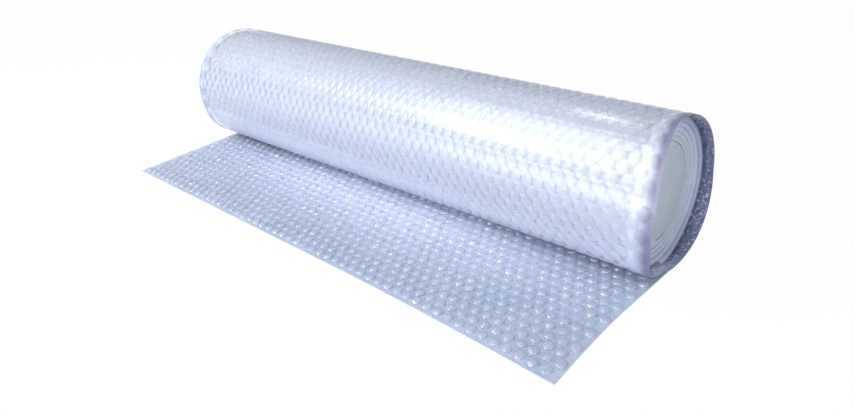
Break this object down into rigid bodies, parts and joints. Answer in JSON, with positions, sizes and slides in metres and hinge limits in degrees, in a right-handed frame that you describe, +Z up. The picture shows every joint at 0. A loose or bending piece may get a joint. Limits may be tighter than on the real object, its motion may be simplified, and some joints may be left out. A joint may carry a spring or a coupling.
{
  "type": "bubble wrap roll",
  "caption": "Roll of clear bubble film lying on its side, wound in many turns, with its outer end run out flat in front as a leaf.",
  "frame": {"origin": "on the ground, under the middle of the whole piece, so the roll's axis is 50 mm behind it", "axes": "+X along the roll's axis, -Y towards the front edge of the flat leaf, +Z up"},
  "size_m": [0.6, 0.236, 0.1352],
  "materials": {
    "bubble_film": "clear glossy film that looks a milky pale blue where its layers build up"
  },
  "bodies": {
    "root": {"bubble_wrap": "bubble_film"}
  },
  "joints": []
}
